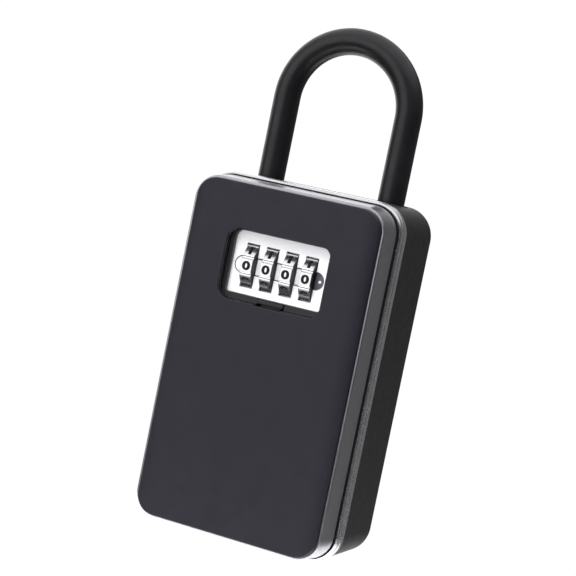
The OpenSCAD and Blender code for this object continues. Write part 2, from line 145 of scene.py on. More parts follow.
def shade(colour, by):
    """The colour made lighter or darker by a factor."""
    return tuple(channel * by for channel in colour)


PATCH_SIZE = 0.012                          # of the surfaces' mottling
EDGE_WEAR_AND_HIGHLIGHT_RADIUS = 0.0004                        # how far the edge colour reaches: wear, and on the bezel plastic a painted highlight
EDGE_WEAR_AND_HIGHLIGHT_PATCH = 0.003
SMEAR_SIZE = 0.004
WAVE_SIZE = 0.006                           # of the broad bumps under the grain


def surface(name, colour, roughness, metallic=0.0, grain=0.0004, depth=0.000004, stretch=(1, 1, 1),
            mottle=0.1, edge_wear_and_highlight=None, specular=0.5, rough_span=0.06):
    """A moulded, cast, painted or plated surface.

    Its colour is mottled, its roughness is uneven, and it has a fine grain. A colour shows on the edges: wear
    on most surfaces, and a painted highlight on the bezel plastic.
    """
    n = Nodes(name)
    n.shader.inputs["Metallic"].default_value = metallic
    n.shader.inputs["Specular IOR Level"].default_value = specular
    patches = n.noise(PATCH_SIZE)
    base = n.mix(n.ramp(patches, 0, 1), shade(colour, 1 - mottle), shade(colour, 1 + mottle))
    if edge_wear_and_highlight:
        # edge colour: wear on most surfaces; on the bezel plastic a painted highlight, lighter lines where
        # its edges would catch light
        edge = n.new("ShaderNodeMath", operation="MULTIPLY")
        n.link(n.edges(EDGE_WEAR_AND_HIGHLIGHT_RADIUS), edge.inputs[0])
        n.link(n.ramp(n.noise(EDGE_WEAR_AND_HIGHLIGHT_PATCH), 0.25, 1), edge.inputs[1])
        base = n.mix(edge.outputs["Value"], base, edge_wear_and_highlight)
    n.link(base, n.shader.inputs["Base Color"])
    smears = n.noise(SMEAR_SIZE, detail=5.0, stretch=stretch)
    n.link(n.ramp(smears, roughness - rough_span, roughness + rough_span), n.shader.inputs["Roughness"])
    n.bump((n.noise(grain, detail=2.0, stretch=stretch), depth), (n.noise(WAVE_SIZE), depth * 1.5))
    return n.material


STRETCH_X = (0.06, 1, 1)                    # brushed along X
STRETCH_Z = (1, 1, 0.08)                    # drawn along Z
MATERIALS = {
    "cast_case": surface("cast_case", (0.84, 0.84, 0.88), 0.27, metallic=1.0, grain=0.0005,
                         depth=0.0000012, mottle=0.03, edge_wear_and_highlight=(0.92, 0.92, 0.94), rough_span=0.02),
    "jacket_rubber": surface("jacket_rubber", (0.014, 0.0137, 0.0134), 0.52, grain=0.00035, depth=0.00001,
                             mottle=0.12, edge_wear_and_highlight=(0.024, 0.0235, 0.023), specular=0.4),
    "seal_foam": surface("seal_foam", (0.006, 0.006, 0.006), 0.85, grain=0.0003, depth=0.00002, specular=0.2),
    "plated_steel": surface("plated_steel", (0.60, 0.60, 0.61), 0.26, metallic=1.0, grain=0.0006,
                            depth=0.000003, stretch=STRETCH_Z, edge_wear_and_highlight=(0.75, 0.75, 0.76)),
    "screw_steel": surface("screw_steel", (0.42, 0.42, 0.43), 0.32, metallic=1.0, edge_wear_and_highlight=(0.62, 0.62, 0.63)),
    "bushing_plastic": surface("bushing_plastic", (0.014, 0.014, 0.015), 0.45, depth=0.000006),
    "cover_metal": surface("cover_metal", (0.36, 0.36, 0.37), 0.34, metallic=1.0, stretch=STRETCH_X,
                           edge_wear_and_highlight=(0.55, 0.55, 0.56)),
    "liner_foam": surface("liner_foam", (0.03, 0.03, 0.034), 0.9, grain=0.0008, depth=0.00006, specular=0.15),
    "shackle_vinyl": surface("shackle_vinyl", (0.0065, 0.0062, 0.0075), 0.36, grain=0.0005, depth=0.000006,
                             mottle=0.15, specular=0.5),
    "knob_plastic": surface("knob_plastic", (0.09, 0.09, 0.10), 0.5, depth=0.00001),
    "door_metal": surface("door_metal", (0.50, 0.50, 0.53), 0.32, metallic=1.0, grain=0.0005,
                          depth=0.0000012, mottle=0.03, edge_wear_and_highlight=(0.62, 0.62, 0.64), rough_span=0.02),
    # near-black: painted shade standing in for the shadowed gap between the door and the rim
    "parting_painted_shade": surface("parting_painted_shade", (0.007, 0.007, 0.008), 0.6, depth=0.000005, specular=0.25),
    # grey-blue: painted shade and painted dark reflection in the dial plate's groove
    "groove_painted_shade": surface("groove_painted_shade", (0.13, 0.13, 0.165), 0.35, metallic=0.6, depth=0.000002),
    "pad_soft_touch": surface("pad_soft_touch", (0.0085, 0.0080, 0.0135), 0.48, grain=0.00025,
                              depth=0.000006, mottle=0.06, specular=0.5),
    # the bezel's lighter edge colour is a painted highlight, standing in for light caught on its edges
    "bezel_plastic": surface("bezel_plastic", (0.011, 0.011, 0.013), 0.36, depth=0.000003, specular=0.55,
                             edge_wear_and_highlight=(0.07, 0.07, 0.075)),
    "dial_chrome": surface("dial_chrome", (0.93, 0.925, 0.95), 0.38, metallic=0.2, grain=0.0004,
                           depth=0.0000008, stretch=STRETCH_X, mottle=0.015, rough_span=0.03),
    "dial_face": surface("dial_face", (0.92, 0.92, 0.93), 0.14, metallic=1.0, grain=0.0003,
                         depth=0.000001, stretch=STRETCH_X, mottle=0.02, rough_span=0.03),
    "dial_side": surface("dial_side", (0.006, 0.006, 0.007), 0.45, depth=0.000004, specular=0.3),
    "figure_ink": surface("figure_ink", (0.005, 0.005, 0.006), 0.5, depth=0.000003, specular=0.25),
    "cam_brass": surface("cam_brass", (0.62, 0.44, 0.19), 0.28, metallic=1.0, edge_wear_and_highlight=(0.8, 0.62, 0.32)),
    "spring_steel": surface("spring_steel", (0.42, 0.42, 0.43), 0.28, metallic=1.0),
    "inner_plastic": surface("inner_plastic", (0.045, 0.045, 0.05), 0.55, grain=0.0005, depth=0.000015),
    "tab_plastic": surface("tab_plastic", (0.012, 0.012, 0.014), 0.38, depth=0.000005,
                           edge_wear_and_highlight=(0.03, 0.03, 0.032)),
}

# ---------------------------------------------------------------- mesh helpers


def arc(centre, radius, start, turn, steps):
    """Points (x, z) along an arc that starts at an angle and turns by another, both in degrees."""
    angles = [math.radians(start + turn * i / steps) for i in range(steps + 1)]
    return [(centre[0] + radius * math.cos(a), centre[1] + radius * math.sin(a)) for a in angles]


def rounded_rect(width, height, radius, steps=14):
    """Loop of (x, z) points round a centred rectangle, anticlockwise."""
    loop = []
    for side_x, side_z, start in ((1, -1, -90), (1, 1, 0), (-1, 1, 90), (-1, -1, 180)):
        corner = (side_x * (width / 2 - radius), side_z * (height / 2 - radius))
        loop += arc(corner, radius, start, 90, steps)
    return loop


def circle(radius, steps=48):
    """Loop of points round the origin."""
    return [(radius * math.cos(math.tau * i / steps), radius * math.sin(math.tau * i / steps))
            for i in range(steps)]


def inset(loop, distance):
    """The anticlockwise loop moved inwards by distance, point for point."""
    out = []
    for i, point in enumerate(loop):
        before, here, after = Vector(loop[i - 1]), Vector(point), Vector(loop[(i + 1) % len(loop)])
        first = (here - before).normalized()
        second = (after - here).normalized()
        left = Vector((-first.y, first.x))
        middle = (left + Vector((-second.y, second.x))).normalized()
        out.append(here + middle * distance / max(0.4, middle.dot(left)))
    return out


def quarter(width, depth, steps=12):
    """Rounded edge as (inset, depth) pairs, from the wall's end to the face."""
    angles = [math.pi / 2 * i / steps for i in range(steps + 1)]
    return [(width * (1 - math.cos(a)), depth * (1 - math.sin(a))) for a in angles]


class Mesh:
    """A bmesh under construction, in which loops of points are skinned and capped."""

    def __init__(self):
        self.bm = bmesh.new()

    def ring(self, points):
        return [self.bm.verts.new(p) for p in points]

    def skin(self, rings, material=0):
        """Quads between neighbouring rings."""
        for near, far in zip(rings, rings[1:]):
            for i in range(len(near)):
                j = (i + 1) % len(near)
                face = self.bm.faces.new((near[i], near[j], far[j], far[i]))
                face.material_index = material

    def cap(self, outer, holes=(), material=0):
        """Flat face inside outer and round the holes."""
        loops = [outer, *holes]
        flat = [v for loop in loops for v in loop]
        for corners in geometry.tessellate_polygon([[v.co for v in loop] for loop in loops]):
            if len(set(corners)) == 3:
                face = self.bm.faces.new([flat[i] for i in corners])
                face.material_index = material

    def object(self, name, materials, sharp=38):
        """Welds, orients and shades the mesh, and links it. An edge over sharp degrees stays sharp."""
        bmesh.ops.remove_doubles(self.bm, verts=self.bm.verts, dist=1e-7)
        bmesh.ops.dissolve_degenerate(self.bm, edges=self.bm.edges, dist=1e-7)
        bmesh.ops.recalc_face_normals(self.bm, faces=self.bm.faces)
        for face in self.bm.faces:
            face.smooth = True
        for edge in self.bm.edges:
            edge.smooth = edge.calc_face_angle(0) < math.radians(sharp)
        mesh = bpy.data.meshes.new(name)
        self.bm.to_mesh(mesh)
        self.bm.free()
        piece = bpy.data.objects.new(name, mesh)
        bpy.context.scene.collection.objects.link(piece)
        for material in materials:
            mesh.materials.append(MATERIALS[material])
        add_normals(piece)
        return piece


def add_bevel(piece, width):
    """Rounds the sharp edges."""
    modifier = piece.modifiers.new("edges", "BEVEL")
    modifier.width = width
    modifier.segments = 3
    modifier.limit_method = "ANGLE"
    modifier.angle_limit = math.radians(35)
    modifier.use_clamp_overlap = True


def add_normals(piece):
    """Keeps large faces flat-looking beside small ones."""
    modifier = piece.modifiers.new("normals", "WEIGHTED_NORMAL")
    modifier.keep_sharp = True


BACK_EDGE = 0.3 * MM                        # the chamfer on a slab's back edges


def slab(name, material, outer, holes, front, back, edge, hole_edge):
    """A plate facing the front: its outline, its holes, and how each meets the front face.

    Loops are (x, z) points. edge and hole_edge are (width, depth) of the rounding at the front.
    """
    mesh = Mesh()

    def wall(loop, sign, rounding):
        steps = [(BACK_EDGE, back), (0, back - BACK_EDGE)]
        steps += [(move, front + deep) for move, deep in quarter(*rounding)]
        rings = [mesh.ring([(x, y, z) for x, z in inset(loop, sign * move)]) for move, y in steps]
        mesh.skin(rings)
        return rings[-1], rings[0]

    outer_front, outer_back = wall(outer, 1, edge)
    ends = [wall(loop, -1, hole_edge) for loop in holes]
    mesh.cap(outer_front, [end[0] for end in ends])
    mesh.cap(outer_back, [end[1] for end in ends])
    return mesh.object(name, [material])


def keep(piece, body, slot, *replaced):
    """Puts a finished piece on its body, in place of the CAD nodes that it stands for. Its slot argument is
    not used.
    """
    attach(piece, body)
    if replaced:
        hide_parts(*replaced)
    return piece


def centred(loop, z):
    """The loop moved up to be centred on z."""
    return [(x, z + dz) for x, dz in loop]


def refine(name, material, node, cutter_mesh, operation, sharp=28):
    """A copy of a CAD node cut by, or trimmed to, another mesh, with smooth curves and sharp corners."""
    tool = cutter_mesh.object("tool", [material])
    tool.modifiers.clear()
    piece = bpy.data.objects.new(name, NODES[node].data.copy())
    bpy.context.scene.collection.objects.link(piece)
    modifier = piece.modifiers.new("cut", "BOOLEAN")
    modifier.object = tool
    modifier.solver = "EXACT"
    modifier.use_self = True
    modifier.operation = operation
    bpy.context.view_layer.update()
    bake_modifiers(piece)
    bpy.data.objects.remove(tool)
    done = Mesh()
    done.bm.from_mesh(piece.data)
    bpy.data.objects.remove(piece)
    for face in done.bm.faces:
        face.material_index = 0
    return done.object(name, [material], sharp=sharp)


def paint(piece, material, chosen):
    """Gives the chosen faces a second material."""
    piece.data.materials.append(MATERIALS[material])
    for face in piece.data.polygons:
        if chosen(face):
            face.material_index = len(piece.data.materials) - 1


def envelope(mesh, loop, profile):
    """A closed solid whose outline steps in from loop as profile says, in (step, y) pairs."""
    rings = [mesh.ring([(x, y, z) for x, z in inset(loop, step)]) for step, y in profile]
    mesh.skin(rings)
    mesh.cap(rings[0])
    mesh.cap(rings[-1])


def bar(mesh, low, high):
    """A closed box between two corners."""
    corners = [(low[0], low[2]), (high[0], low[2]), (high[0], high[2]), (low[0], high[2])]
    rings = [mesh.ring([(x, y, z) for x, z in corners]) for y in (low[1], high[1])]
    mesh.skin(rings)
    mesh.cap(rings[0])
    mesh.cap(rings[1])


# ---------------------------------------------------------------- sizes from the frame

pad_low, pad_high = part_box("front_pad")
jacket_low, jacket_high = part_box("rear_jacket")
shell_low, shell_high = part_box("case_shell")
plate_low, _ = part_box("dial_plate")
bezel_low, bezel_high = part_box("window_bezel")
MID_Z = (pad_low.z + pad_high.z) / 2
PAD_RADIUS = 7.5 * MM
CROWN_WIDTH = 6.2 * MM                      # of the strips where the pad's face curves back
CROWN_DEPTH = 1.7 * MM
CROWN_STEPS = 12
WINDOW_SPARE = 0.1 * MM                     # the bezel stands this far inside the window
WINDOW_Z = (bezel_low.z + bezel_high.z) / 2
WINDOW_W = bezel_high.x - bezel_low.x + 2 * WINDOW_SPARE
WINDOW_H = bezel_high.z - bezel_low.z + 2 * WINDOW_SPARE
WINDOW_RADIUS = 4 * MM
_, tab_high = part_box("release_tab")
NOTCH_HALF = tab_high.x + 0.2 * MM
NOTCH_FOOT = WINDOW_Z - WINDOW_H / 2 - 0.25 * MM
NOTCH_CORNER = 0.12 * MM
hinge_low, hinge_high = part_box("hinge_pin")
HINGE_Y = (hinge_low.y + hinge_high.y) / 2
HINGE_Z = (hinge_low.z + hinge_high.z) / 2
HINGE_HALF = hinge_high.x
KNUCKLE_R = 1.55 * MM
DOOR_KNUCKLE = 7.6 * MM                     # half length of the door's knuckle
KNUCKLE_GAP = 0.3 * MM                      # from there to the case's knuckles
RIM_RADIUS = 10.4 * MM
DOOR_DEPTH = 9.5 * MM                       # of the door frame, behind the pad
DOOR_GAP = 0.8 * MM                         # between the closed door and the rim
FRAME_STEP = (2.02 * MM, 1.37 * MM)         # from the rim's outline in to the door frame: front, back
RIM_OUTLINE = centred(rounded_rect(shell_high.x - shell_low.x, shell_high.z - shell_low.z, RIM_RADIUS), MID_Z)
mount = next(m for m in frame["record"]["mounts"] if m["name"] == "wall_screws")
WALL_HOLE_X = mount["dims"]["spacing_x_mm"] / 2 * MM
WALL_HOLE_Z = mount["dims"]["spacing_y_mm"] / 2 * MM
WALL_HOLE_R = mount["dims"]["hole_r_mm"] * MM
HOLE_SPARE = 0.03 * MM                      # round the bushings

# ---------------------------------------------------------------- door and case


def window_outline():
    """The pad's window, with the finger notch in its lower edge."""
    loop = centred(rounded_rect(WINDOW_W, WINDOW_H, WINDOW_RADIUS), WINDOW_Z)
    foot = WINDOW_Z - WINDOW_H / 2
    outer, inner = NOTCH_HALF + NOTCH_CORNER, NOTCH_HALF - NOTCH_CORNER
    high, low = foot - NOTCH_CORNER, NOTCH_FOOT + NOTCH_CORNER
    corners = (((-outer, high), 90, -90), ((-inner, low), 180, 90), ((inner, low), 270, 90),
               ((outer, high), 180, -90))
    notch = []
    for centre, start, turn in corners:
        notch += arc(centre, NOTCH_CORNER, start, turn, 4)
    last_left = max(i for i, (x, z) in enumerate(loop) if x < 0 and abs(z - foot) < 1e-7)
    return loop[:last_left + 1] + notch


def front_pad():
    """Soft pad, crowned towards its left and right edges, with the window and the finger notch."""
    outline = centred(rounded_rect(pad_high.x - pad_low.x, pad_high.z - pad_low.z, PAD_RADIUS), MID_Z)
    piece = slab("front_pad_skin", "pad_soft_touch", outline, [window_outline()], pad_low.y, pad_high.y,
                 edge=(0.4 * MM, 0.35 * MM), hole_edge=(0.3 * MM, 0.3 * MM))
    crown(piece)
    return keep(piece, "door", "pad_soft_touch", "front_pad")


def crown(piece):
    """Curves the pad's face back towards its left and right edges."""
    mesh = Mesh()
    mesh.bm.from_mesh(piece.data)
    edge = pad_high.x
    for side in (-1, 1):
        for i in range(CROWN_STEPS):
            everything = [*mesh.bm.verts, *mesh.bm.edges, *mesh.bm.faces]
            spot = (side * (edge - CROWN_WIDTH * (1 - i / CROWN_STEPS)), 0, 0)
            bmesh.ops.bisect_plane(mesh.bm, geom=everything, plane_co=spot, plane_no=(1, 0, 0))
    room = pad_high.y - pad_low.y
    for vert in mesh.bm.verts:
        # the back of the pad stays flat, so the fall fades out towards it
        t = (abs(vert.co.x) - (edge - CROWN_WIDTH)) / CROWN_WIDTH
        if t > 0:
            fall = CROWN_DEPTH * (1 - math.sqrt(max(0, 1 - min(t, 1) ** 2)))
            vert.co.y += fall * (pad_high.y - vert.co.y) / room
    mesh.bm.to_mesh(piece.data)
    mesh.bm.free()


def door_frame():
    """The door's cast frame, with its edges rounded where the band meets the pad and the gap."""
    front = pad_high.y
    back = front + DOOR_DEPTH
    r = 0.4 * MM
    first, last = FRAME_STEP
    rise = (first - last) * r / DOOR_DEPTH
    profile = [(first + move, front + deep) for move, deep in reversed(quarter(r, r, 6))]
    profile += [(last + rise + move, back - deep) for move, deep in quarter(r, r, 6)]
    tool = Mesh()
    envelope(tool, RIM_OUTLINE, profile)
    bar(tool, (-DOOR_KNUCKLE, HINGE_Y - KNUCKLE_R, HINGE_Z - KNUCKLE_R),
        (DOOR_KNUCKLE, HINGE_Y + KNUCKLE_R, HINGE_Z + KNUCKLE_R))
    piece = refine("door_frame_cast", "door_metal", "door_frame", tool, "INTERSECT")
    return keep(piece, "door", "door_metal", "door_frame")


def rim_profile():
    """From the front: a bead, a groove, a wider bead, and the body that the jacket covers, as (step, y)."""
    front = pad_high.y + DOOR_DEPTH + DOOR_GAP
    front_r, back_r = 1.0 * MM, 0.5 * MM
    bead, groove, rim = 0.17 * MM, 0.52 * MM, 0.02 * MM
    rim_back, body = 5 * MM, 1.0 * MM
    profile = [(bead + move, front + deep) for move, deep in reversed(quarter(front_r, front_r, 6))]
    profile += [(bead, front + 1.7 * MM), (bead + 0.1 * MM, front + 1.95 * MM), (groove, front + 2.12 * MM),
                (groove, front + 2.38 * MM), (rim + 0.15 * MM, front + 2.5 * MM), (rim, front + 2.8 * MM)]
    profile += [(rim + move, front + rim_back - deep) for move, deep in quarter(back_r, back_r, 5)]
    return profile + [(body, front + rim_back + 0.02 * MM), (body, shell_high.y + 0.1 * MM)]


def case_shell():
    """The cast case, with its rim turned into two rounded beads and a groove between them."""
    tool = Mesh()
    envelope(tool, RIM_OUTLINE, rim_profile())
    inner, outer = DOOR_KNUCKLE + KNUCKLE_GAP, HINGE_HALF + 0.1 * MM
    for low, high in ((-outer, -inner), (inner, outer)):
        bar(tool, (low, HINGE_Y - KNUCKLE_R, HINGE_Z - KNUCKLE_R),
            (high, HINGE_Y + KNUCKLE_R + 0.2 * MM, HINGE_Z + KNUCKLE_R))
    piece = refine("case_cast", "cast_case", "case_shell", tool, "INTERSECT")
    # the rim's front faces, across the gap from the door, get painted shade: near-black for the shadowed gap
    paint(piece, "parting_painted_shade", lambda face: face.normal.y < -0.95)
    return keep(piece, "case", "cast_case", "case_shell")


def stadium(half_length, radius, steps=44):
    """Loop of (x, z) points round a bar with round ends."""
    straight = half_length - radius
    return arc((straight, 0), radius, -90, 180, steps) + arc((-straight, 0), radius, 90, 180, steps)


GROOVE_REACH = 5.55 * MM                    # from the middle of an end dial to the reading groove's end
GROOVE_HALF = 3.0 * MM
GROOVE_DEPTH = 0.34 * MM


def dial_plate():
    """Bright plate, with the reading groove's walls dished round the row of figures."""
    ring_a, ring_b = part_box("dial_ring_1"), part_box("dial_ring_4")
    z = (ring_a[0].z + ring_a[1].z) / 2
    last = (ring_b[0].x + ring_b[1].x) / 2
    tool = Mesh()
    loop = centred(stadium(last + GROOVE_REACH, GROOVE_HALF), z)
    front = plate_low.y
    profile = [(0, front - 0.2 * MM), (0, front), (0.25 * MM, front + 0.05 * MM),
               (0.5 * MM, front + 0.17 * MM), (0.7 * MM, front + GROOVE_DEPTH)]
    envelope(tool, loop, profile)
    piece = refine("dial_plate_chrome", "dial_chrome", "dial_plate", tool, "DIFFERENCE", sharp=8)

    def grey(face):
        """True on the groove's walls, and on its floor past the last dial: the faces that get painted shade
        and painted dark reflection.
        """
        depth = face.center.y - front
        wall = 0.01 * MM < depth < 0.3 * MM
        floor = 0.3 * MM < depth < 0.4 * MM and face.normal.y < -0.9
        return wall or (floor and face.center.x > last)

    # the groove's walls and its floor past the last dial get painted shade and painted dark reflection
    paint(piece, "groove_painted_shade", grey)
    return keep(piece, "door", "dial_chrome", "dial_plate")


def rear_jacket():
    """Moulded jacket: a shell with a slight draft, a rolled front lip and round back edges."""
    width, height = jacket_high.x - jacket_low.x, jacket_high.z - jacket_low.z
    z = (jacket_low.z + jacket_high.z) / 2
    radius = 10.1 * MM
    wall = 1.25 * MM
    draft = 0.2 * MM
    edge = 3.9 * MM
    lip = 0.8 * MM
    loop = centred(rounded_rect(width, height, radius), z)
    front, back = jacket_low.y, jacket_high.y
    outside = [(move, front + deep) for move, deep in reversed(quarter(lip, lip, 6))]
    outside += [(draft * i / 6, front + (back - edge - front) * i / 6) for i in range(1, 7)]
    outside += [(draft + move, back - deep) for move, deep in quarter(edge, edge, 10)[1:]]
    outside.append((draft + edge + 1.5 * MM, back))
    inside = [(wall, front), (wall, back - edge), (wall + edge * 0.6, back - wall)]
    mesh = Mesh()
    outer = [mesh.ring([(x, y, zz) for x, zz in inset(loop, move)]) for move, y in outside]
    inner = [mesh.ring([(x, y, zz) for x, zz in inset(loop, move)]) for move, y in inside]
    mesh.skin(outer)
    mesh.skin(inner)
    mesh.skin([outer[0], inner[0]])
    mesh.cap(outer[-1])
    mesh.cap(inner[-1])
    piece = mesh.object("rear_jacket_skin", ["jacket_rubber"])
    cut_holes(piece)
    add_normals(piece)
    return keep(piece, "case", "jacket_rubber", "rear_jacket")


def cut_holes(piece):
    """Cuts the shackle's and the wall screws' holes through the jacket."""
    cutters = []
    bush_low, bush_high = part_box("leg_bushings")
    bush_r = (bush_high.y - bush_low.y) / 2
    bush_y = (bush_low.y + bush_high.y) / 2
    for side in (-1, 1):
        x = side * (bush_high.x - bush_r)
        cutters.append(cutter(bush_r + HOLE_SPARE, (x, bush_y, bush_high.z), "Z"))
    for x in (-1, 1):
        for z in (-1, 1):
            spot = (x * WALL_HOLE_X, jacket_high.y, MID_Z + z * WALL_HOLE_Z)
            cutters.append(cutter(WALL_HOLE_R, spot, "Y"))
    for tool in cutters:
        modifier = piece.modifiers.new("hole", "BOOLEAN")
        modifier.object = tool
        modifier.solver = "EXACT"
        modifier.operation = "DIFFERENCE"
    bpy.context.view_layer.update()
    bake_modifiers(piece)
    for tool in cutters:
        bpy.data.objects.remove(tool)


def cutter(radius, centre, axis):
    """A drill 8 mm long about a centre, along Y or Z, for one hole through the jacket."""
    mesh = Mesh()
    half = 4 * MM
    ends = [mesh.ring([(x, z, d) for x, z in circle(radius)]) for d in (-half, half)]
    mesh.skin(ends)
    mesh.cap(ends[0])
    mesh.cap(ends[1])
    tool = mesh.object("cutter", ["jacket_rubber"])
    if axis == "Y":
        tool.data.transform(Matrix.Rotation(math.radians(90), 4, "X"))
    tool.data.transform(Matrix.Translation(centre))
    return tool


def bake_modifiers(piece):
    """Replaces the mesh with its evaluated form and drops the modifiers."""
    evaluated = piece.evaluated_get(bpy.context.evaluated_depsgraph_get())
    mesh = bpy.data.meshes.new_from_object(evaluated)
    piece.modifiers.clear()
    old = piece.data
    piece.data = mesh
    bpy.data.meshes.remove(old)


# ---------------------------------------------------------------- shackle

SLEEVE_SINK = 0.45 * MM                     # how far the sleeve's feet sit in the jacket's holes
BUSHING_DROP = 0.15 * MM                    # from those feet down to the bushings
LEG_STEPS = 16
ARCH_STEPS = 72
TUBE_SIDES = 56


def leg_bushings():
    """Guide bushings, trimmed to sit just under the sleeve's feet."""
    low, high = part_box("leg_bushings")
    top = high.z - SLEEVE_SINK - BUSHING_DROP
    tool = Mesh()
    bar(tool, (low.x - MM, low.y - MM, top), (high.x + MM, high.y + MM, high.z + MM))
    piece = refine("leg_bushings_trimmed", "bushing_plastic", "leg_bushings", tool, "DIFFERENCE")
    return keep(piece, "case", "bushing_plastic", "leg_bushings")


def shackle_sleeve():
    """Vinyl tube over the steel: up one leg, round the arch and down the other, open at both ends."""
    low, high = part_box("shackle_sleeve")
    rod_low, rod_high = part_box("shackle_rod")
    radius = (high.y - low.y) / 2
    bore = (rod_high.y - rod_low.y) / 2 + 0.02 * MM
    leg_x = high.x - radius
    arch_z = high.z - radius - leg_x
    y = (low.y + high.y) / 2
    lip = 0.25 * MM
    foot = low.z - SLEEVE_SINK
    heights = [foot + (arch_z - foot) * i / LEG_STEPS for i in range(LEG_STEPS + 1)]
    path = [((leg_x, z), 0.0) for z in heights]
    path += [((leg_x * math.cos(a), arch_z + leg_x * math.sin(a)), a)
             for a in (math.pi * i / ARCH_STEPS for i in range(1, ARCH_STEPS + 1))]
    path += [((-leg_x, z), math.pi) for z in reversed(heights[:-1])]
    mesh = Mesh()

    def ring(spot, angle, r, shift=0.0):
        x, z = spot
        return mesh.ring([(x + r * math.cos(t) * math.cos(angle), y + r * math.sin(t),
                           z + r * math.cos(t) * math.sin(angle) + shift)
                          for t in (math.tau * i / TUBE_SIDES for i in range(TUBE_SIDES))])

    ends = [(radius - lip, 0.0), (radius - 0.3 * lip, 0.3 * lip), (radius, lip)]
    outer = [ring(path[0][0], 0.0, r, up) for r, up in ends]
    outer += [ring(spot, angle, radius) for spot, angle in path[1:-1]]
    outer += [ring(path[-1][0], math.pi, r, up) for r, up in reversed(ends)]
    inner = [ring(spot, angle, bore) for spot, angle in path]
    mesh.skin(outer)
    mesh.skin(inner)
    mesh.skin([outer[0], inner[0]])
    mesh.skin([outer[-1], inner[-1]])
    piece = mesh.object("shackle_vinyl_sleeve", ["shackle_vinyl"])
    return keep(piece, "shackle", "shackle_vinyl", "shackle_sleeve")


# ---------------------------------------------------------------- dials

DIAL_SIDES = 10
DIAL_STEP = math.tau / DIAL_SIDES
GROOVE_R = 0.9 * MM                         # of the finger grooves between the flats
GROOVE_OUT = 0.35 * MM                      # how far outside the dial's corners their centres lie
GROOVE_STEPS = 10
DIAL_BORE = 5.21 * MM
DIAL_CHAMFER = 0.12 * MM
FIGURE_H = 3.05 * MM
FIGURE_STRETCH = 1.42                       # the figures are wider than the font's
FIGURE_WEIGHT = 0.05                        # and bolder
FIGURE_RELIEF = 0.006                       # both in heights of the font
ring_low, ring_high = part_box("dial_ring_1")
flat_r = (ring_high.y - ring_low.y) / 2     # flats face the front and the back
DIAL_R = flat_r / math.cos(DIAL_STEP / 2)


def dial_outline():
    """Loop of (y, z) points round a dial: ten flats with a finger groove between each pair."""
    groove_r = DIAL_R + GROOVE_OUT
    half_flat = groove_r * math.sin(DIAL_STEP / 2)
    rise = groove_r * math.cos(DIAL_STEP / 2) - flat_r
    reach = math.sqrt(GROOVE_R ** 2 - rise ** 2)
    open_angle = math.atan2(reach, rise) - DIAL_STEP / 2
    loop = []
    for side in range(DIAL_SIDES):
        turn = side * DIAL_STEP
        loop += [turned((flat_r, (half_flat - reach) * k / 2), turn) for k in range(-2, 3)]
        for k in range(1, GROOVE_STEPS):
            a = open_angle * (2 * k / GROOVE_STEPS - 1)
            spot = (groove_r - GROOVE_R * math.cos(a), GROOVE_R * math.sin(a))
            loop.append(turned(spot, turn + DIAL_STEP / 2))
    return loop


def turned(spot, angle):
    """The (y, z) point turned about the dial's axis."""
    return (spot[0] * math.cos(angle) - spot[1] * math.sin(angle),
            spot[0] * math.sin(angle) + spot[1] * math.cos(angle))


def dial(number):
    """One dial: bright flats and grooves, black sides, and its ten figures."""
    node = f"dial_ring_{number}"
    low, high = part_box(node)
    axis = Vector(((low.x + high.x) / 2, (low.y + high.y) / 2, (low.z + high.z) / 2))
    mesh = Mesh()
    outline = dial_outline()
    levels = [(low.x, DIAL_CHAMFER), (low.x + DIAL_CHAMFER, 0), (high.x - DIAL_CHAMFER, 0),
              (high.x, DIAL_CHAMFER)]
    rings = [mesh.ring([(x, axis.y + u, axis.z + v) for u, v in inset(outline, move)]) for x, move in levels]
    bores = [mesh.ring([(x, axis.y + u, axis.z + v) for u, v in circle(DIAL_BORE)]) for x in (low.x, high.x)]
    mesh.skin(rings)
    mesh.skin(bores, material=1)
    mesh.cap(rings[0], [bores[0]], material=1)
    mesh.cap(rings[-1], [bores[1]], material=1)
    body = f"dial_{number}"
    drum = mesh.object(f"dial_{number}_drum", ["dial_face", "dial_side"], sharp=20)
    keep(drum, body, "dial_face", node)
    for figure in range(DIAL_SIDES):
        keep(figure_on(number, figure, axis), body, "dial_face")


def figure_on(number, figure, axis):
    """The figure's mesh on its flat: 0 faces the front at rest, and the next figure up is 1."""
    text = bpy.data.curves.new("figure", "FONT")
    text.body = str(figure)
    text.size = 1
    text.offset = FIGURE_WEIGHT
    text.extrude = FIGURE_RELIEF
    text.resolution_u = 5
    source = bpy.data.objects.new("figure", text)
    bpy.context.scene.collection.objects.link(source)
    bpy.context.view_layer.update()
    mesh = bpy.data.meshes.new_from_object(source.evaluated_get(bpy.context.evaluated_depsgraph_get()))
    bpy.data.objects.remove(source)
    bpy.data.curves.remove(text)
    xs = [v.co.x for v in mesh.vertices]
    ys = [v.co.y for v in mesh.vertices]
    scale = FIGURE_H / (max(ys) - min(ys))
    centre = Matrix.Translation((-(max(xs) + min(xs)) / 2, -(max(ys) + min(ys)) / 2, 0))
    upright = Matrix.Rotation(math.radians(90), 4, "X")
    turn = Matrix.Rotation(-figure * DIAL_STEP, 4, "X")
    mesh.transform(Matrix.Translation(axis) @ turn @ Matrix.Translation((0, -flat_r, 0)) @ upright
                   @ Matrix.Diagonal((scale * FIGURE_STRETCH, scale, scale, 1)) @ centre)
    mesh.name = f"dial_{number}_figure_{figure}"
    piece = bpy.data.objects.new(mesh.name, mesh)
    bpy.context.scene.collection.objects.link(piece)
    mesh.materials.clear()
    mesh.materials.append(MATERIALS["figure_ink"])
    return piece


# ---------------------------------------------------------------- springs

WIRE = 0.42 * MM                            # its diameter
WIRE_SIDES = 10
STEPS_PER_TURN = 20
FLAT_TURN = 0.6                             # of a turn at each end lies flat


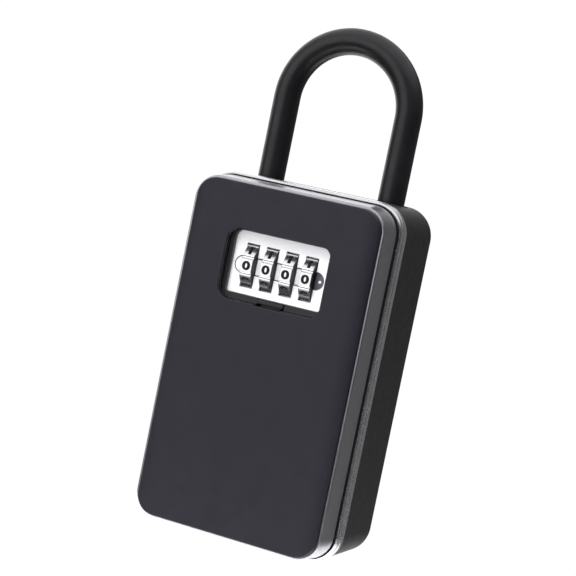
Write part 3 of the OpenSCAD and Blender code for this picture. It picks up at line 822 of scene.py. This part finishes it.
def coil(name, x, y, radius, z0, z1, turns):
    """Round-wire compression spring with closed ends."""
    mesh = Mesh()
    steps = turns * STEPS_PER_TURN
    rings = []
    pitch_r = radius - WIRE / 2
    for i in range(steps + 1):
        t = i / steps
        a = math.tau * turns * t
        lift = min(1, max(0, (t * turns - FLAT_TURN) / (turns - 2 * FLAT_TURN)))
        z = z0 + WIRE / 2 + (z1 - z0 - WIRE) * lift
        centre = Vector((x + pitch_r * math.cos(a), y + pitch_r * math.sin(a), z))
        outward = Vector((math.cos(a), math.sin(a), 0))
        section = [(WIRE / 2 * math.cos(b), WIRE / 2 * math.sin(b))
                   for b in (math.tau * k / WIRE_SIDES for k in range(WIRE_SIDES))]
        rings.append(mesh.ring([centre + outward * out + Vector((0, 0, up)) for out, up in section]))
    mesh.skin(rings)
    mesh.cap(rings[0])
    mesh.cap(rings[-1])
    return mesh.object(name, ["spring_steel"])


def springs():
    """Two release springs, which the tab squashes, and two bolt springs."""
    for node, turns, joint in (("release_springs", 6, "release_slide"), ("bolt_springs", 3, None)):
        low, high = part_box(node)
        radius = (high.y - low.y) / 2
        y = (low.y + high.y) / 2
        pieces = [coil(f"{node}_{side}", sign * (high.x - radius), y, radius, low.z, high.z, turns)
                  for side, sign in (("left", -1), ("right", 1))]
        for piece in pieces:
            keep(piece, "door", "spring_steel", node)
            if joint:
                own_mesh(piece)


# ---------------------------------------------------------------- CAD nodes that stay

ROUND_EDGES_MM = {
    "window_bezel": 0.18, "release_tab": 0.2, "door_back_cover": 0.4, "catch_cover": 0.2,
    "shackle_catch": 0.2, "catch_knob": 0.6, "latch_bolt": 0.15, "fence_plate": 0.15,
    "strike_plate": 0.15, "reset_lever": 0.25, "cover_screws": 0.1, "cavity_liner": 0.3,
}


def dress_nodes():
    """Gives every CAD node its surface, and rounds the edges of those that stay in view."""
    for node, piece in NODES.items():
        piece.data.materials.clear()
        piece.data.materials.append(MATERIALS[SLOT_OF[node]])
        if node in ROUND_EDGES_MM:
            weld = piece.modifiers.new("weld", "WELD")
            weld.merge_threshold = 1e-6
            flat = piece.modifiers.new("flat", "DECIMATE")
            flat.decimate_type = "DISSOLVE"
            flat.angle_limit = math.radians(0.5)
            add_bevel(piece, ROUND_EDGES_MM[node] * MM)
            add_normals(piece)


# ---------------------------------------------------------------- stage, lights and camera

FLOOR_DROP = 0.12                           # from the object's foot down to the floor
FLOOR_HALF = 0.24                           # half the floor's side, so that the world lights the rest
SCREEN = 1.5                                # brightness of the white screen behind on the left
DIM_BEHIND = 0.14                           # and of the studio behind on the right
DIM_FRONT = 0.06                            # and on the camera's side
CEILING = 1.0                               # and overhead
BACKDROP = 1.02                             # what the camera sees past the object
SUN_STRENGTH = 4.4
SUN_ANGLE = math.radians(70)                # how wide its disc is
SUN_TILT = (math.radians(28), math.radians(-8), 0)
AIM = (0, 0, 0.08)                          # near the middle of the object


def stage():
    """A plain pale floor, below the object."""
    size = FLOOR_HALF
    mesh = bpy.data.meshes.new("floor")
    corners = [(x, y, -FLOOR_DROP) for x, y in ((-size, -size), (size, -size), (size, size), (-size, size))]
    mesh.from_pydata(corners, [], [(0, 1, 2, 3)])
    floor = bpy.data.objects.new("floor", mesh)
    bpy.context.scene.collection.objects.link(floor)
    n = Nodes("floor_paper")
    n.link(n.mix(n.noise(0.3), (0.90, 0.90, 0.90), (0.93, 0.93, 0.93)), n.shader.inputs["Base Color"])
    n.shader.inputs["Roughness"].default_value = 0.9
    n.shader.inputs["Specular IOR Level"].default_value = 0.1
    mesh.materials.append(n.material)


def world():
    """A studio: a white screen behind the object on its left, a white ceiling, and dim elsewhere.

    The camera itself sees plain white.
    """
    studio = bpy.data.worlds.new("studio")
    bpy.context.scene.world = studio
    studio.use_nodes = True
    tree = studio.node_tree
    direction = tree.nodes.new("ShaderNodeSeparateXYZ")
    tree.links.new(tree.nodes.new("ShaderNodeTexCoord").outputs["Generated"], direction.inputs["Vector"])

    def fade(axis, start, end, low, high):
        """Goes smoothly from low to high as the direction's axis goes from start to end."""
        node = tree.nodes.new("ShaderNodeMapRange")
        node.interpolation_type = "SMOOTHSTEP"
        node.inputs["From Min"].default_value = start
        node.inputs["From Max"].default_value = end
        node.inputs["To Min"].default_value = low
        node.inputs["To Max"].default_value = high
        tree.links.new(direction.outputs[axis], node.inputs["Value"])
        return node

    left = fade("X", 0.0, -0.35, DIM_BEHIND, SCREEN)
    behind = fade("Y", -0.2, 0.5, DIM_FRONT, 1.0)
    tree.links.new(left.outputs["Result"], behind.inputs["To Max"])
    above = fade("Z", 0.45, 0.75, 0.0, CEILING)
    tree.links.new(behind.outputs["Result"], above.inputs["To Min"])
    seen = tree.nodes.new("ShaderNodeMix")
    tree.links.new(tree.nodes.new("ShaderNodeLightPath").outputs["Is Camera Ray"], seen.inputs["Factor"])
    tree.links.new(above.outputs["Result"], seen.inputs[2])
    seen.inputs[3].default_value = BACKDROP
    tree.links.new(seen.outputs[0], tree.nodes["Background"].inputs["Strength"])
    tree.nodes["Background"].inputs["Color"].default_value = (1, 1, 1, 1)


def area_light(name, spot, width, height, radiance):
    """A soft box of a given brightness per area, aimed at the object."""
    light = bpy.data.lights.new(name, "AREA")
    light.shape = "RECTANGLE"
    light.size = width
    light.size_y = height
    light.energy = radiance * math.pi * width * height
    lamp = bpy.data.objects.new(name, light)
    bpy.context.scene.collection.objects.link(lamp)
    lamp.location = spot
    lamp.rotation_euler = (Vector(AIM) - Vector(spot)).to_track_quat("-Z", "Y").to_euler()
    return lamp


def lights():
    """A broad sun overhead, a key on the left and a fill in front. Only the key shows in reflections."""
    sun = bpy.data.lights.new("overhead", "SUN")
    sun.energy = SUN_STRENGTH
    sun.angle = SUN_ANGLE
    lamp = bpy.data.objects.new("overhead", sun)
    bpy.context.scene.collection.objects.link(lamp)
    lamp.rotation_euler = SUN_TILT
    lamp.visible_glossy = False
    area_light("key", spot=(-0.75, -1.18, 0.44), width=1.55, height=1.1, radiance=1.15)
    fill = area_light("fill", spot=(0.2, -1.25, 0.15), width=0.9, height=0.9, radiance=3.2)
    fill.visible_glossy = False


AZIMUTH = math.radians(23.49)
ELEVATION = math.radians(4.50)
ROLL = math.radians(11.51)
DISTANCE = 0.609                            # from the middle of the pad
SIDE_SHIFT = 0.0109                         # of the camera from the line to there, to the right
RISE = 0.0250                               # and upwards
LENS = 117.95                               # mm, on a 36 mm wide sensor


def camera():
    """Looks at the pad from the object's right and a little above, tilted as the object leans."""
    back = Vector((math.sin(AZIMUTH) * math.cos(ELEVATION), -math.cos(AZIMUTH) * math.cos(ELEVATION),
                   math.sin(ELEVATION)))
    level = Vector((math.cos(AZIMUTH), math.sin(AZIMUTH), 0))
    plumb = back.cross(level)
    right = level * math.cos(ROLL) + plumb * math.sin(ROLL)
    up = plumb * math.cos(ROLL) - level * math.sin(ROLL)
    pad_centre = Vector((0, pad_low.y, MID_Z))
    data = bpy.data.cameras.new("camera")
    data.lens = LENS
    data.sensor_width = 36
    data.clip_start = 0.01
    view = bpy.data.objects.new("camera", data)
    bpy.context.scene.collection.objects.link(view)
    turn = Matrix((right, up, back)).transposed().to_4x4()
    spot = pad_centre + back * DISTANCE + right * SIDE_SHIFT + up * RISE
    view.matrix_world = Matrix.Translation(spot) @ turn
    bpy.context.scene.camera = view


bpy.context.scene.view_settings.view_transform = "Standard"
bpy.context.scene.view_settings.look = "None"

camera()
lights()
world()
stage()
dress_nodes()
case_shell()
door_frame()
dial_plate()
front_pad()
rear_jacket()
leg_bushings()
shackle_sleeve()
for dial_number in range(1, 5):
    dial(dial_number)
springs()
